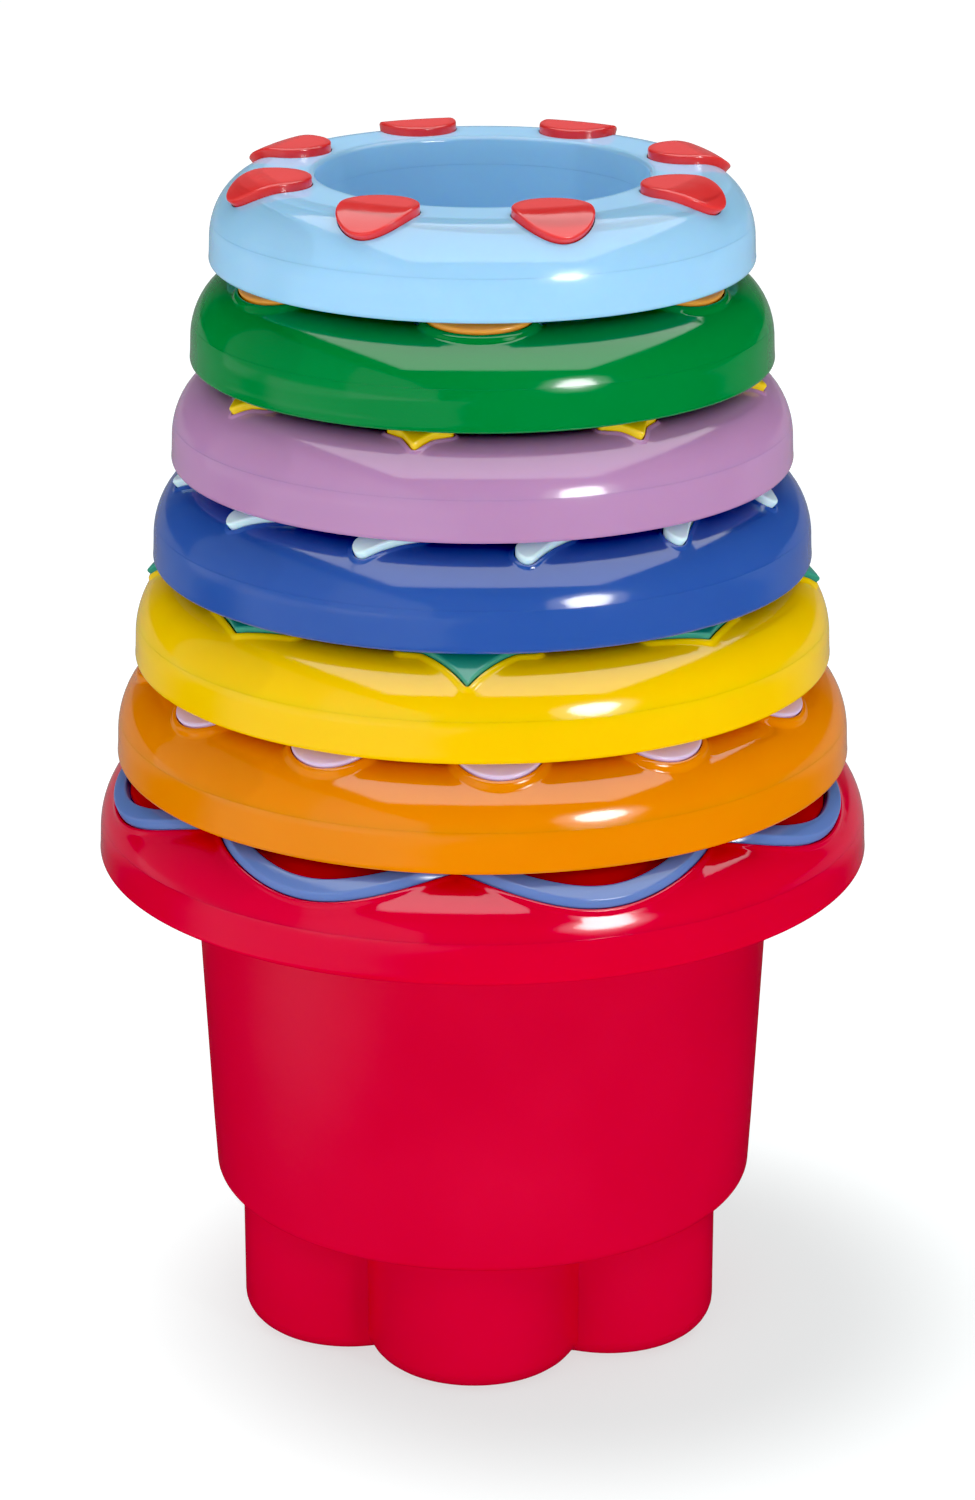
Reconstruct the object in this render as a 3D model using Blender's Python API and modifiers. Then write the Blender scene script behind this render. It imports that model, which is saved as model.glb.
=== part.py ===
"""Nesting cup set: a bucket and six smaller cups whose fat hollow collars stack up like rings.

Each member is built the same way, from three mouldings:
  * the cup: lobed foot, tapered body, and the underside and lower wall of its collar,
  * the collar cap: the upper half of the collar, closed over the cup's channel,
  * the inlay: raised shapes in a second colour that stand up through the cap's windows.
Metres, +Z up, the bucket's foot standing on z = 0, every member on the Z axis.
"""
import math
from collections import namedtuple

import bpy
import bmesh
from mathutils import Matrix, Vector

MM = 0.001

# Collars
RIM_RADIUS = 70.0 * MM          # the bucket's collar, outside
RIM_STEP = 3.68 * MM            # each smaller collar loses this much radius
COLLAR_HEIGHT = 16.63 * MM
COLLAR_HEIGHT_STEP = 0.155 * MM
SIDE_HEIGHT = 4.3 * MM          # nearly upright side below the rounded shoulder
SIDE_DRAFT = 0.17 * MM
SHOULDER_REACH = 9.63 * MM      # radial half-axis of the shoulder's quarter ellipse
LOWER_EDGE = 0.8 * MM
SEAM_HEIGHT = 7.4 * MM          # where the cap meets the cup's lower wall
COLLAR_WALL = 2.0 * MM
MOUTH_EDGE = 0.8 * MM
MOUTH_LIP = 5.0 * MM            # the cap turns down into the mouth this far
LIP_WALL = 1.3 * MM

# Bodies and feet
BODY_INSET = 17.07 * MM         # from the rim in to the body, level with the collar's underside
BODY_DRAFT = 0.047              # radius lost for each metre down
BODY_WALL = 2.4 * MM
BODY_EDGE = 1.5 * MM
DEPTH = 89.5 * MM               # the bucket, from its collar's underside to its foot
DEPTH_RATIO = 0.875             # each smaller cup is this much shallower
BODY_SHARE = 0.713              # part of the depth above the foot
FOOT_INSET = 22.6 * MM          # from the rim in to the lobes' outermost line
FOOT_LOBES = 6
LOBE_CENTRE = 0.583             # of the foot's reach
LOBE_RADIUS = 0.417
FOOT_ROUND = 0.108              # rounding of the foot's lower edge, of its reach
FOOT_TURN = math.radians(-3.1)

# Inlays
RAISE = 1.6 * MM                # how far the raised shapes stand above the cap
PAD_DEPTH = 2.6 * MM            # how far they reach down below its surface
CARRIER_DROP = 2.3 * MM         # the ring that joins them lies this far below the collar's top
CARRIER_THICKNESS = 1.8 * MM
CARRIER_INNER = 15.8 * MM       # carrier ring, measured in from the rim
CARRIER_OUTER = 10.2 * MM
WAVE_SCALLOPS = 8
WAVE_CENTRE = 29.2 * MM         # centre of each scallop's arc, in from the rim
WAVE_ARC = 25.8 * MM
WAVE_HALF_WIDTH = 1.2 * MM
GROOVE_DEPTH = 1.0 * MM

GAP = 0.3 * MM                  # running and fitting gap between neighbouring mouldings
SEGMENTS = 28
SHOULDER_STEPS = 2
LOBE_STEPS = 5

Member = namedtuple("Member", "cup cap inlay colour inlay_colour outlines")
Size = namedtuple("Size", "rim height depth base")


def clear_scene():
    for obj in list(bpy.data.objects):
        bpy.data.objects.remove(obj, do_unlink=True)


def new_collection(name):
    collection = bpy.data.collections.new(name)
    bpy.context.scene.collection.children.link(collection)
    return collection


def linear(channel):
    """Linear value of an sRGB channel given from 0 to 255."""
    value = channel / 255
    return value / 12.92 if value <= 0.04045 else ((value + 0.055) / 1.055) ** 2.4


def plastic(name, srgb, roughness=0.16):
    material = bpy.data.materials.new(name)
    material.use_nodes = True
    shader = material.node_tree.nodes["Principled BSDF"]
    shader.inputs["Base Color"].default_value = (*[linear(channel) for channel in srgb], 1)
    shader.inputs["Roughness"].default_value = roughness
    shader.inputs["Metallic"].default_value = 0
    return material


# ---- sizes of each member ----

def member_sizes(count):
    """Rim radius, collar height, depth and the height of the collar's underside, largest first."""
    sizes = []
    base = DEPTH
    for index in range(count):
        height = COLLAR_HEIGHT - COLLAR_HEIGHT_STEP * index
        sizes.append(Size(RIM_RADIUS - RIM_STEP * index, height, DEPTH * DEPTH_RATIO ** index, base))
        base += height + RAISE + GAP
    return sizes


def body_radius(size, z):
    """Outer radius of the body at height z above the collar's underside."""
    return size.rim - BODY_INSET + BODY_DRAFT * z


def shoulder(size, offset, lowest):
    """Collar outline, offset outwards, from its flat top down to the given height."""
    reach = SHOULDER_REACH + offset
    rise = size.height - SIDE_HEIGHT + offset
    centre = size.rim - SIDE_DRAFT - SHOULDER_REACH
    last = math.acos(max(lowest - SIDE_HEIGHT, 0) / rise)
    points = []
    for step in range(SHOULDER_STEPS + 1):
        angle = last * step / SHOULDER_STEPS
        points.append((centre + reach * math.sin(angle), SIDE_HEIGHT + rise * math.cos(angle)))
    return points


# ---- turned shapes ----

def turned(name, profile, closed, collection, parent):
    """Profile of (radius, z) points, down its outer side, turned about Z by a Screw modifier."""
    mesh = bpy.data.meshes.new(name)
    form = bmesh.new()
    verts = [form.verts.new((radius, 0, z)) for radius, z in profile]
    for start, end in zip(verts, verts[1:]):
        form.edges.new((start, end))
    if closed:
        form.edges.new((verts[-1], verts[0]))
    form.to_mesh(mesh)
    form.free()
    obj = bpy.data.objects.new(name, mesh)
    collection.objects.link(obj)
    obj.parent = parent
    screw = obj.modifiers.new("turn", "SCREW")
    screw.steps = SEGMENTS
    screw.render_steps = SEGMENTS
    screw.use_merge_vertices = True
    screw.merge_threshold = 0.01 * MM
    screw.use_smooth_shade = False
    return obj


def dome(name, size, offset, cutters, parent):
    """Solid under the collar's outer surface, offset outwards by the given amount."""
    profile = [(0, size.height + offset)]
    profile += shoulder(size, offset, 0)
    profile += [(size.rim + offset, -GAP), (0, -GAP)]
    return turned(name, profile, False, cutters, parent)


def boolean(obj, other, operation):
    cut = obj.modifiers.new(f"{operation.lower()} {other.name}", "BOOLEAN")
    cut.operation = operation
    cut.object = other
    cut.solver = "EXACT"
    return cut


# ---- flat outlines and the prisms made from them ----

def grown(outline, distance):
    """Outline, anticlockwise, with every side moved outwards by the distance."""
    count = len(outline)
    result = []
    for index in range(count):
        before, here, after = (Vector(outline[(index + turn) % count]) for turn in (-1, 0, 1))
        side_in = (here - before).normalized()
        side_out = (after - here).normalized()
        normal_in = Vector((side_in.y, -side_in.x))
        normal_out = Vector((side_out.y, -side_out.x))
        reach = distance / (1 + normal_in.dot(normal_out))
        result.append(tuple(here + (normal_in + normal_out) * reach))
    return result


def placed(outline, radius, turn):
    """Outline drawn with +Y pointing outwards, moved out to the radius and turned round the axis.

    A turn of zero faces the front, -Y, and a positive one goes towards +X.
    """
    cos, sin = math.cos(turn), math.sin(turn)
    return [((radius + y) * sin - x * cos, -(radius + y) * cos - x * sin) for x, y in outline]


def oval(half_width, half_length, corners=8):
    angles = [2 * math.pi * (index + 0.5) / corners for index in range(corners)]
    return [(half_width * math.cos(angle), half_length * math.sin(angle)) for angle in angles]


def leaf(flank):
    """Symmetric shape with its point outwards at y = 0.

    The flank lists one side's corners, from the point down.
    """
    return [(0, 0)] + [(-x, y) for x, y in flank] + [(x, y) for x, y in reversed(flank)]


def star(tip, notch, points=5):
    outline = []
    for index in range(points * 2):
        angle = math.pi / 2 + math.pi * index / points
        radius = notch if index % 2 else tip
        outline.append((radius * math.cos(angle), radius * math.sin(angle)))
    return outline


def dash(half_length, half_width, slant):
    """Short bar with blunt round ends, leaning over by the slant."""
    side = half_length - half_width
    bar = [(half_width, -side), (half_width, side), (0, half_length)]
    bar += [(-half_width, side), (-half_width, -side), (0, -half_length)]
    cos, sin = math.cos(slant), math.sin(slant)
    return [(x * cos - y * sin, x * sin + y * cos) for x, y in bar]


def ring_of(outline, radius, count, first_turn):
    return [placed(outline, radius, first_turn + 2 * math.pi * index / count) for index in range(count)]


def lilac_ovals(rim):
    return ring_of(oval(7.3 * MM, 5.3 * MM), rim - 10.3 * MM, 12, math.radians(3))


def green_leaves(rim):
    wide = leaf([(8.0 * MM, -6.4 * MM), (12.0 * MM, -7.1 * MM), (10.8 * MM, -9.8 * MM)])
    low = leaf([(10.8 * MM, -4.0 * MM), (9.6 * MM, -6.8 * MM)])
    large = ring_of(wide, rim - 3.0 * MM, 4, math.radians(-2.4))
    small = ring_of(low, rim - 5.8 * MM, 4, math.radians(42.6))
    return large + small


def pale_dashes(rim):
    return ring_of(dash(6.2 * MM, 1.9 * MM, math.radians(-56)), rim - 9.0 * MM, 12, math.radians(12))


def yellow_stars(rim):
    return ring_of(star(6.3 * MM, 4.4 * MM), rim - 11.1 * MM, 8, math.radians(-13))


def orange_ovals(rim):
    return ring_of(oval(8.8 * MM, 4.7 * MM), rim - 10.8 * MM, 6, math.radians(-0.6))


def red_spots(rim):
    return ring_of(oval(6.9 * MM, 6.9 * MM), rim - 10.0 * MM, 8, math.radians(-27))


def scalloped(radius, rim, steps=5):
    """Closed outline of round scallops about the axis, each an arc of the given radius."""
    centre = rim - WAVE_CENTRE
    half = math.pi / WAVE_SCALLOPS
    outline = []
    for scallop in range(WAVE_SCALLOPS):
        middle = math.radians(-26.6) + 2 * half * scallop
        for step in range(steps):
            lean = half * (2 * step / steps - 1)
            reach = centre * math.cos(lean) + math.sqrt(radius ** 2 - (centre * math.sin(lean)) ** 2)
            outline.append((reach * math.sin(middle + lean), -reach * math.cos(middle + lean)))
    return outline


def prism(name, outlines, low, high, collection, parent):
    """Upright prism on flat outlines; an outline inside another is a hole."""
    curve = bpy.data.curves.new(name, "CURVE")
    curve.dimensions = "2D"
    curve.fill_mode = "BOTH"
    curve.extrude = (high - low) / 2
    for outline in outlines:
        spline = curve.splines.new("POLY")
        spline.points.add(len(outline) - 1)
        spline.use_cyclic_u = True
        for point, (x, y) in zip(spline.points, outline):
            point.co = (x, y, 0, 1)
    drawn = bpy.data.objects.new(name + "_outline", curve)
    collection.objects.link(drawn)
    mesh = bpy.data.meshes.new_from_object(drawn.evaluated_get(bpy.context.evaluated_depsgraph_get()))
    bpy.data.objects.remove(drawn)
    form = bmesh.new()
    form.from_mesh(mesh)
    bmesh.ops.remove_doubles(form, verts=form.verts, dist=0.001 * MM)
    bmesh.ops.recalc_face_normals(form, faces=form.faces)
    form.to_mesh(mesh)
    form.free()
    mesh.transform(Matrix.Translation((0, 0, (low + high) / 2)))
    obj = bpy.data.objects.new(name, mesh)
    collection.objects.link(obj)
    obj.parent = parent
    return obj


# ---- the lobed foot ----

def lobed_ring(reach, inset, z):
    """Six-lobed outline, moved inwards by the inset, as points at the height z."""
    centre = LOBE_CENTRE * reach
    radius = LOBE_RADIUS * reach - inset
    points = []
    for lobe in range(FOOT_LOBES):
        middle = FOOT_TURN + 2 * math.pi * lobe / FOOT_LOBES
        for step in range(LOBE_STEPS):
            lean = math.pi / FOOT_LOBES * (2 * step / LOBE_STEPS - 1)
            out = centre * math.cos(lean) + math.sqrt(radius ** 2 - (centre * math.sin(lean)) ** 2)
            points.append((out * math.sin(middle + lean), -out * math.cos(middle + lean), z))
    return points


def loft(name, rings, collection, parent):
    """Closed solid through rings of equal point counts, listed from the bottom up."""
    form = bmesh.new()
    loops = [[form.verts.new(point) for point in ring] for ring in rings]
    for lower, upper in zip(loops, loops[1:]):
        for index, vert in enumerate(lower):
            after = (index + 1) % len(lower)
            form.faces.new((vert, lower[after], upper[after], upper[index]))
    form.faces.new(list(reversed(loops[0])))
    form.faces.new(loops[-1])
    bmesh.ops.recalc_face_normals(form, faces=form.faces)
    mesh = bpy.data.meshes.new(name)
    form.to_mesh(mesh)
    form.free()
    obj = bpy.data.objects.new(name, mesh)
    collection.objects.link(obj)
    obj.parent = parent
    return obj


def foot_solids(member, size, cutters, parent):
    """Outer form of the foot, to be joined on, and its hollow, to be cut out."""
    reach = size.rim - FOOT_INSET
    step = -BODY_SHARE * size.depth
    rounding = FOOT_ROUND * reach
    bevel = rounding * (1 - math.sqrt(0.5))
    outer = [
        lobed_ring(reach, rounding, -size.depth),
        lobed_ring(reach, bevel, -size.depth + bevel),
        lobed_ring(reach, 0, -size.depth + rounding),
        lobed_ring(reach, 0, step + BODY_WALL / 2),
    ]
    hollow = [
        lobed_ring(reach, BODY_WALL, -size.depth + BODY_WALL),
        lobed_ring(reach, BODY_WALL, step + 2 * BODY_WALL),
    ]
    foot = loft(member.cup + "_foot_form", outer, cutters, parent)
    cavity = loft(member.cup + "_foot_hollow", hollow, cutters, parent)
    return foot, cavity


# ---- the three mouldings of a member ----

def make_cup(member, size, parts, cutters, parent):
    step = -BODY_SHARE * size.depth
    seam = shoulder(size, 0, SEAM_HEIGHT)[-1]
    wall_top = size.height - MOUTH_LIP - GAP
    floor = step + BODY_WALL
    profile = [
        (0, floor),
        (body_radius(size, floor) - BODY_WALL, floor),
        (body_radius(size, wall_top) - BODY_WALL, wall_top),
        (body_radius(size, wall_top), wall_top),
        (body_radius(size, COLLAR_WALL), COLLAR_WALL),
        (size.rim - COLLAR_WALL - LOWER_EDGE, COLLAR_WALL),
        (seam[0] - COLLAR_WALL, seam[1]),
        seam,
        (size.rim, LOWER_EDGE),
        (size.rim - LOWER_EDGE, 0),
        (body_radius(size, 0), 0),
        (body_radius(size, step + BODY_EDGE), step + BODY_EDGE),
        (body_radius(size, step) - BODY_EDGE, step),
        (0, step),
    ]
    cup = turned(member.cup, profile, False, parts, parent)
    foot, cavity = foot_solids(member, size, cutters, parent)
    boolean(cup, foot, "UNION")
    boolean(cup, cavity, "DIFFERENCE")
    return cup


def make_cap(member, size, parts, parent):
    lowest = SEAM_HEIGHT + GAP
    top = size.height
    lip = top - MOUTH_LIP
    mouth = body_radius(size, top) - BODY_WALL
    profile = [
        (body_radius(size, lip) - BODY_WALL, lip),
        (mouth, top - MOUTH_EDGE),
        (mouth + MOUTH_EDGE, top),
    ]
    profile += shoulder(size, 0, lowest)
    profile += reversed(shoulder(size, -COLLAR_WALL, lowest))
    profile += [
        (mouth + LIP_WALL, top - COLLAR_WALL),
        (mouth + LIP_WALL, lip),
    ]
    return turned(member.cap, profile, True, parts, parent)


def make_pads(member, size, cap, parts, cutters, parent):
    """Ring of raised shapes on a hidden carrier, and the windows they stand up through."""
    outlines = member.outlines(size.rim)
    top = size.height + 2 * RAISE
    windows = prism(member.inlay + "_windows", [grown(outline, GAP) for outline in outlines],
                    0, top, cutters, parent)
    boolean(cap, windows, "DIFFERENCE")
    inlay = prism(member.inlay, outlines, 0, top, parts, parent)
    boolean(inlay, dome(member.inlay + "_face", size, RAISE, cutters, parent), "INTERSECT")
    boolean(inlay, dome(member.inlay + "_back", size, -PAD_DEPTH, cutters, parent), "DIFFERENCE")
    high = size.height - CARRIER_DROP
    low = high - CARRIER_THICKNESS
    inner = size.rim - CARRIER_INNER
    outer = size.rim - CARRIER_OUTER
    section = [(inner, high), (outer, high), (outer, low), (inner, low)]
    boolean(inlay, turned(member.inlay + "_carrier", section, True, cutters, parent), "UNION")
    return inlay


def make_wave(member, size, cap, parts, cutters, parent):
    """Scalloped band that lies in a groove of its own shape round the bucket's collar."""
    top = size.height + 2 * RAISE
    outer = scalloped(WAVE_ARC + WAVE_HALF_WIDTH, size.rim)
    inner = scalloped(WAVE_ARC - WAVE_HALF_WIDTH, size.rim)
    wide = [scalloped(WAVE_ARC + WAVE_HALF_WIDTH + GAP, size.rim),
            scalloped(WAVE_ARC - WAVE_HALF_WIDTH - GAP, size.rim)]
    groove = prism(member.inlay + "_groove", wide, 0, top, cutters, parent)
    floor = dome(member.inlay + "_groove_floor", size, -GROOVE_DEPTH, cutters, parent)
    boolean(groove, floor, "DIFFERENCE")
    boolean(cap, groove, "DIFFERENCE")
    band = prism(member.inlay, [outer, inner], 0, top, parts, parent)
    boolean(band, dome(member.inlay + "_face", size, RAISE, cutters, parent), "INTERSECT")
    back = dome(member.inlay + "_back", size, GAP - GROOVE_DEPTH, cutters, parent)
    boolean(band, back, "DIFFERENCE")
    return band


RED = (208, 8, 46)
ORANGE = (238, 138, 12)
YELLOW = (248, 205, 12)
BLUE = (48, 88, 165)
PURPLE = (186, 144, 190)
GREEN = (4, 136, 60)
SKY = (165, 208, 242)
LILAC = (208, 176, 222)
LEAF_GREEN = (16, 118, 70)
PALE_BLUE = (142, 198, 240)
STAR_YELLOW = (250, 190, 40)
OVAL_ORANGE = (230, 140, 52)
SPOT_RED = (224, 40, 50)
WAVE_BLUE = (62, 104, 182)

MEMBERS = [
    Member("red_bucket", "red_collar_cap", "blue_wave_ring", RED, WAVE_BLUE, None),
    Member("orange_cup", "orange_collar_cap", "lilac_oval_ring", ORANGE, LILAC, lilac_ovals),
    Member("yellow_cup", "yellow_collar_cap", "green_leaf_ring", YELLOW, LEAF_GREEN, green_leaves),
    Member("blue_cup", "blue_collar_cap", "pale_dash_ring", BLUE, PALE_BLUE, pale_dashes),
    Member("purple_cup", "purple_collar_cap", "yellow_star_ring", PURPLE, STAR_YELLOW, yellow_stars),
    Member("green_cup", "green_collar_cap", "orange_oval_ring", GREEN, OVAL_ORANGE, orange_ovals),
    Member("sky_cup", "sky_collar_cap", "red_spot_ring", SKY, SPOT_RED, red_spots),
]


def make_member(member, size, below, parts, cutters):
    """One cup with its cap and inlay, on an empty at the middle of its collar's underside."""
    seat = bpy.data.objects.new(member.cup + "_seat", None)
    parts.objects.link(seat)
    seat.parent = below
    seat.location.z = size.base if below is None else size.base - below.matrix_world.translation.z
    bpy.context.view_layer.update()
    cup = make_cup(member, size, parts, cutters, seat)
    cap = make_cap(member, size, parts, seat)
    make_inlay = make_wave if member.outlines is None else make_pads
    inlay = make_inlay(member, size, cap, parts, cutters, seat)
    shell = plastic(member.cup + "_plastic", member.colour)
    cup.data.materials.append(shell)
    cap.data.materials.append(shell)
    inlay.data.materials.append(plastic(member.inlay + "_plastic", member.inlay_colour))
    return seat


def hide_cutters(cutters):
    for cutter in cutters.objects:
        cutter.hide_render = True
        cutter.display_type = "WIRE"


def main():
    clear_scene()
    parts = new_collection("nesting_ring_cups")
    cutters = new_collection("cutters")
    below = None
    for member, size in zip(MEMBERS, member_sizes(len(MEMBERS))):
        below = make_member(member, size, below, parts, cutters)
    hide_cutters(cutters)


main()
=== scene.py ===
"""Looks of the nesting cup set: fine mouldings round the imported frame, glossy plastics, a plain studio.

Every member of the set is rebuilt from its CAD boxes as three fine pieces:
  * the cup, a loft of rings from the lobed foot up to the collar's lower half,
  * the collar cap, a skin laid out flat, cut by its windows, and wrapped round the collar,
  * the inlay, raised pads on a hidden carrier ring, or the bucket's scalloped band.
"""

import math

import bpy
import bmesh
import numpy as np
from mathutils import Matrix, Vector
from mathutils.geometry import delaunay_2d_cdt


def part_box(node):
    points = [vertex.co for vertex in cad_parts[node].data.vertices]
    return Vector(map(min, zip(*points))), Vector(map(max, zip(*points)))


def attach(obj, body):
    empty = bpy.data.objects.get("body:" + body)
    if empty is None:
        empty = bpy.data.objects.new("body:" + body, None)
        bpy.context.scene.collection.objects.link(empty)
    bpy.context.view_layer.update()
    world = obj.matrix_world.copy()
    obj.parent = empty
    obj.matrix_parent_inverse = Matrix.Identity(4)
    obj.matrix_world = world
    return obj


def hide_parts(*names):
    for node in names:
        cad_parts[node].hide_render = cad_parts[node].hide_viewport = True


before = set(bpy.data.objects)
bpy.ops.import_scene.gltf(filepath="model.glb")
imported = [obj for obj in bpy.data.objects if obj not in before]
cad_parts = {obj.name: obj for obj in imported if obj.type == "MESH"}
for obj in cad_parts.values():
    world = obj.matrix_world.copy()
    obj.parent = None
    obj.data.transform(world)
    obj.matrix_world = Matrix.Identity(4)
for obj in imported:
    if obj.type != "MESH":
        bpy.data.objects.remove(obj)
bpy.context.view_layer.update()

MM = 0.001

# Sizes that the fine pieces share with the CAD mouldings
SIDE_HEIGHT = 4.3 * MM          # the collar's straight side
SIDE_DRAFT = 0.17 * MM
SHOULDER_REACH = 9.63 * MM      # half width of the shoulder's ellipse
SEAM_HEIGHT = 7.4 * MM
COLLAR_WALL = 2.0 * MM
MOUTH_EDGE = 0.8 * MM           # rounding of the mouth
MOUTH_LIP = 5.0 * MM            # how far the cap turns down into the mouth
LIP_WALL = 1.3 * MM
BODY_INSET = 17.07 * MM         # from the rim in to the body
BODY_DRAFT = 0.047              # change of the body's radius with height
BODY_WALL = 2.4 * MM
BODY_SHARE = 0.713              # of the depth below the collar; the rest is foot
FOOT_INSET = 22.6 * MM          # from the rim in to the lobes' ends
FOOT_LOBES = 6
LOBE_CENTRE = 0.583             # this and the next two are shares of the foot's reach
LOBE_RADIUS = 0.417
FOOT_ROUND = 0.108
FOOT_TURN = math.radians(-3.1)
PAD_DEPTH = 2.6 * MM            # below the skin
CARRIER_DROP = 2.3 * MM         # from the top of the collar to the carrier ring
CARRIER_THICKNESS = 1.8 * MM
CARRIER_INNER = 15.8 * MM       # from the rim in
CARRIER_OUTER = 10.2 * MM
WAVE_SCALLOPS = 8
WAVE_TURN = math.radians(-26.6)
WAVE_CENTRE = 29.2 * MM         # centre of each scallop's arc, in from the rim
WAVE_ARC = 25.8 * MM
GROOVE_DEPTH = 1.0 * MM
GAP = 0.3 * MM

# Fine detail
SEGMENTS = 240                  # points round a turned ring
CARRIER_SEGMENTS = 180
SHARP_ANGLE = math.radians(40)  # edges that fold more than this are shaded as creases
CELL = 1.15 * MM                # spacing of the collar skin's grid points
CLEARANCE = 0.45 * CELL         # grid points nearer than this to an outline are left out
OUTLINE_STEP = 0.55 * MM        # spacing of points along a window's outline
EDGE_ROWS = 7                   # grid rows across the rounded edge of the mouth
EDGE_MARGIN = 0.4 * MM          # between those rows and the plain grid
WINDOW_GAP = 0.18 * MM          # between a pad and its window
WINDOW_DROP = 0.12 * MM         # how far a window's edge is below the top of its lip
PLAIN_RIM = 0.5 * MM            # flat strip round a window that has no lip
PAD_EDGE = 0.45 * MM            # rounding of a pad's upper edge
COLLAR_EDGE = 1.1 * MM          # rounding of the collar's lower edge
BODY_EDGE = 1.9 * MM            # rounding of the body's lower edge
SEAM_EDGE = 0.01 * MM           # bevel on both sides of the seam
SEAM_SLIT = 0.006 * MM          # width of the hairline between cup and cap
WAVE_HALF_WIDTH = 1.7 * MM
WAVE_BEVEL = 0.9 * MM           # width of the slope along the band's outer side
WAVE_ROUND = 0.4 * MM           # rounding of the band's inner shoulder
WAVE_POINTS = 75                # points along one scallop
GROOVE_REACH = 1.35 * MM        # how far the swell beside the groove reaches
GROOVE_LIP = 0.25 * MM          # height of the groove's edge above the skin
GROOVE_SWELL = [(0, GROOVE_LIP), (0.15 * MM, 0.35 * MM), (0.4 * MM, 0.33 * MM), (0.7 * MM, 0.2 * MM),
                (1.0 * MM, 0.07 * MM), (GROOVE_REACH, 0)]      # distance from the groove and height
LEAF_TIP = 0.5 * MM             # rounding of a leaf's point
STAR_TIP = 0.7 * MM
STAR_NOTCH = 1.2 * MM
LOBE_BLEND = 1.6 * MM           # how far the creases between the foot's lobes are filled
FOOT_FILLET = 0.7 * MM          # between the foot and the underside of the body
WELD = 0.002 * MM               # points closer than this become one
MERGE = 1e-5                    # the same for the flat sheets, in sheet millimetres

# The plastics
GLOSS = 0.1                     # roughness of the collars
PAD_GLOSS = 0.16
SATIN = 0.14                    # added to the roughness of the body below the collar
SATIN_EDGE = 1.5 * MM           # height over which the gloss turns to satin

# Radiances of the studio, where 1 is white
OVERHEAD = 3.8
TOP_FILL = 3.9
FRONT_FILL = 1.22
WALL_FRONT = 0.6
WALL_BACK = 0.3
KEY = 30
KEY_HALO = 2.5
KEY_MATT = 26
FILL = 0.4                      # what matt surfaces get from all round
ROOM = 0.04                     # the dark room that glossy surfaces mirror
SWEEP = 0.2                     # mirrored paper behind the object
PAINTED_REFLECTION_LEFT = 0.56               # painted reflection of the table at the front left, seen only by glossy surfaces
PAINTED_REFLECTION_BACK = 0.3                # and the same painted reflection behind the object
GLOW_IN_PAINTED_SHADOW = 0.76                # the table's own light round the foot, kept low there as a painted contact shadow
GLOW_FAR = 1.15
BACKDROP = 1.35
EXPOSURE = -0.3
TOE = [(0.018, 0.0), (0.06, 0.045), (0.15, 0.155), (0.5, 0.53)]    # linear value and what it is printed as

# The table and the sweep behind it; each pair is where a change starts and ends
FLOOR_SIZE = 4
FLOOR_TINT = (0.2, 0.26, 0.26, 1)
# Middle and reach of the painted contact shadow in the table's glow
PAINTED_SHADOW_CENTRE = (0.018, -0.008, 0)
PAINTED_SHADOW_SPREAD = (0.045, 0.098)
# Edges of the table's painted reflection: towards the left, the front and the back
LEFT_SIDE = (-0.06, -0.2)
FRONT_SIDE = (0.06, -0.1)
BACK_SIDE = (0.12, 0.3)
SWEEP_WIDTH = (0.8, 0.98)       # on the Y of a direction
SWEEP_TOP = (0.6, 0.35)         # on the Z of a direction

CAMERA_PLACE = (0.9 * MM, -730.9 * MM, 368.6 * MM)
CAMERA_DOWN = math.radians(19.7)
SENSOR = 36
LENS = 102.1


# ---- members, read from the frame ----

class Member:
    """Sizes of one cup of the set, measured on its CAD nodes."""

    def __init__(self, cup, cap, inlay):
        self.cup, self.cap, self.inlay = cup, cap, inlay
        cup_low, cup_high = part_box(cup)
        cap_low, cap_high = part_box(cap)
        self.rim = cup_high.x
        self.base = cap_low.z - SEAM_HEIGHT - GAP
        self.height = cap_high.z - self.base
        self.depth = self.base - cup_low.z
        self.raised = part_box(inlay)[1].z - cap_high.z
        self.step = -BODY_SHARE * self.depth
        self.reach = self.rim - FOOT_INSET
        self.shoulder_start = self.rim - SIDE_DRAFT - SHOULDER_REACH
        self.rise = self.height - SIDE_HEIGHT

    def body_radius(self, z):
        return self.rim - BODY_INSET + BODY_DRAFT * z

    def mouth_radius(self, z):
        return self.body_radius(z) - BODY_WALL

    def side_radius(self, z):
        """Outside of the collar at height z: a straight side, then the shoulder's quarter ellipse."""
        if z <= SIDE_HEIGHT:
            return self.rim - SIDE_DRAFT * z / SIDE_HEIGHT
        up = (z - SIDE_HEIGHT) / self.rise
        return self.shoulder_start + SHOULDER_REACH * math.sqrt(1 - up * up)


# ---- meshes from patches ----

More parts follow.
